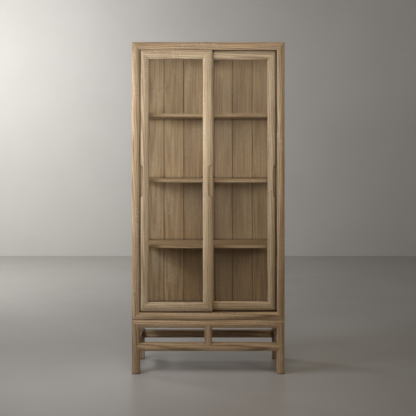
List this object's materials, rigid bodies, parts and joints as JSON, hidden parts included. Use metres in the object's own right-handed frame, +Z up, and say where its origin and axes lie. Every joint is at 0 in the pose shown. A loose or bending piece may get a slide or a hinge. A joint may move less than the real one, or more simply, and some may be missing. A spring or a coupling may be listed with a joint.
{
  "type": "mizuya kitchen cabinet",
  "caption": "Tall limed oak kitchen cabinet with glass sides: framed glass doors slide past each other in front of shelves and a boarded back, on an open legged stand.",
  "frame": {"origin": "on the floor, at the centre of the cabinet's width and depth", "axes": "+Z up; the doors face -Y, so +Y points to the wall; +X is to the right of a person who faces the doors"},
  "size_m": [1.016, 0.457, 2.208],
  "materials": {
    "limed_oak_frame": "matt limed oil",
    "limed_oak_door": "matt limed oil",
    "limed_oak_panel": "matt limed oil",
    "limed_oak_shelf": "matt limed oil",
    "joint_wood": "bare, inside the joints",
    "clear_glass": "clear polished",
    "pin_steel": "satin"
  },
  "bodies": {
    "cabinet": {"back_board_left_1": "limed_oak_panel", "back_board_left_2": "limed_oak_panel", "back_board_left_3": "limed_oak_panel", "back_board_right_1": "limed_oak_panel", "back_board_right_2": "limed_oak_panel", "back_board_right_3": "limed_oak_panel", "back_muntin": "limed_oak_panel", "bottom_rail_back": "limed_oak_frame", "bottom_rail_front": "limed_oak_frame", "bottom_rail_left": "limed_oak_frame", "bottom_rail_right": "limed_oak_frame", "case_dowels": "joint_wood", "case_tenons": "joint_wood", "floor_panel": "limed_oak_panel", "leg_back_left": "limed_oak_frame", "leg_back_right": "limed_oak_frame", "leg_front_left": "limed_oak_frame", "leg_front_right": "limed_oak_frame", "post_back_left": "limed_oak_frame", "post_back_right": "limed_oak_frame", "post_front_left": "limed_oak_frame", "post_front_right": "limed_oak_frame", "shelf_lower": "limed_oak_shelf", "shelf_middle": "limed_oak_shelf", "shelf_pins": "pin_steel", "shelf_upper": "limed_oak_shelf", "side_glass_left": "clear_glass", "side_glass_right": "clear_glass", "stand_lower_rail_back": "limed_oak_frame", "stand_lower_rail_front": "limed_oak_frame", "stand_lower_rail_left": "limed_oak_frame", "stand_lower_rail_right": "limed_oak_frame", "stand_strut_back": "limed_oak_frame", "stand_strut_front": "limed_oak_frame", "stand_tenons": "joint_wood", "stand_upper_rail_back": "limed_oak_frame", "stand_upper_rail_front": "limed_oak_frame", "stand_upper_rail_left": "limed_oak_frame", "stand_upper_rail_right": "limed_oak_frame", "top_panel": "limed_oak_panel", "top_rail_back": "limed_oak_frame", "top_rail_front": "limed_oak_frame", "top_rail_left": "limed_oak_frame", "top_rail_right": "limed_oak_frame"},
    "left_door": {"left_door_beads": "limed_oak_door", "left_door_glass": "clear_glass", "left_door_rail_bottom": "limed_oak_door", "left_door_rail_top": "limed_oak_door", "left_door_stile_left": "limed_oak_door", "left_door_stile_right": "limed_oak_door", "left_door_tenons": "joint_wood"},
    "right_door": {"right_door_beads": "limed_oak_door", "right_door_glass": "clear_glass", "right_door_rail_bottom": "limed_oak_door", "right_door_rail_top": "limed_oak_door", "right_door_stile_left": "limed_oak_door", "right_door_stile_right": "limed_oak_door", "right_door_tenons": "joint_wood"}
  },
  "joints": [
    {"name": "left_door_slide", "type": "slide", "parent": "cabinet", "child": "left_door", "axis": [1, 0, 0], "range_m": [0, 0.43]},
    {"name": "right_door_slide", "type": "slide", "parent": "cabinet", "child": "right_door", "axis": [-1, 0, 0], "range_m": [0, 0.43]}
  ]
}
